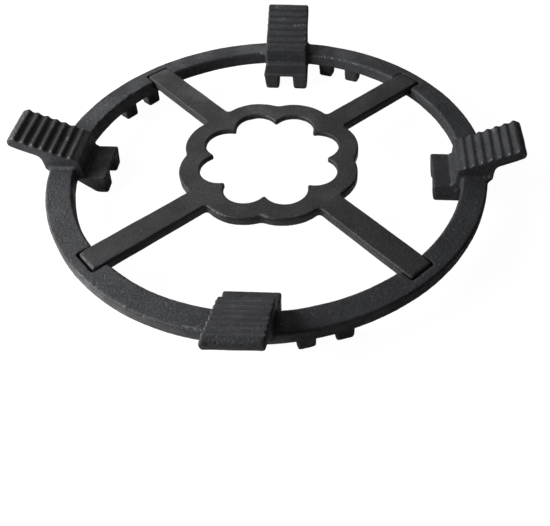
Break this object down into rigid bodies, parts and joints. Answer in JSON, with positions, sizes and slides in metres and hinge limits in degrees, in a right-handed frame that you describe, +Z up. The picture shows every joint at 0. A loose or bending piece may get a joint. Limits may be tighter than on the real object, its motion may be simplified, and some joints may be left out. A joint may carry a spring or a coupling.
{
  "type": "wok ring",
  "caption": "Cast-iron wok ring for a gas hob: ribbed sloping rests on a flat ring, claws and feet that straddle the hob's fingers, and a loose cross set in its pockets.",
  "frame": {"origin": "on the floor under the middle of the ring", "axes": "+Z is up and is the ring's axis, +X points to the claw that also serves one of five fingers, and +Y to the next support"},
  "size_m": [0.2742, 0.2742, 0.0369],
  "materials": {
    "ring_iron": "black sand-cast iron, matt with a faint sheen",
    "cross_iron": "black sand-cast iron, matt, a little smoother and browner"
  },
  "bodies": {
    "root": {"support_ring": "ring_iron", "cross_insert": "cross_iron"}
  },
  "joints": []
}
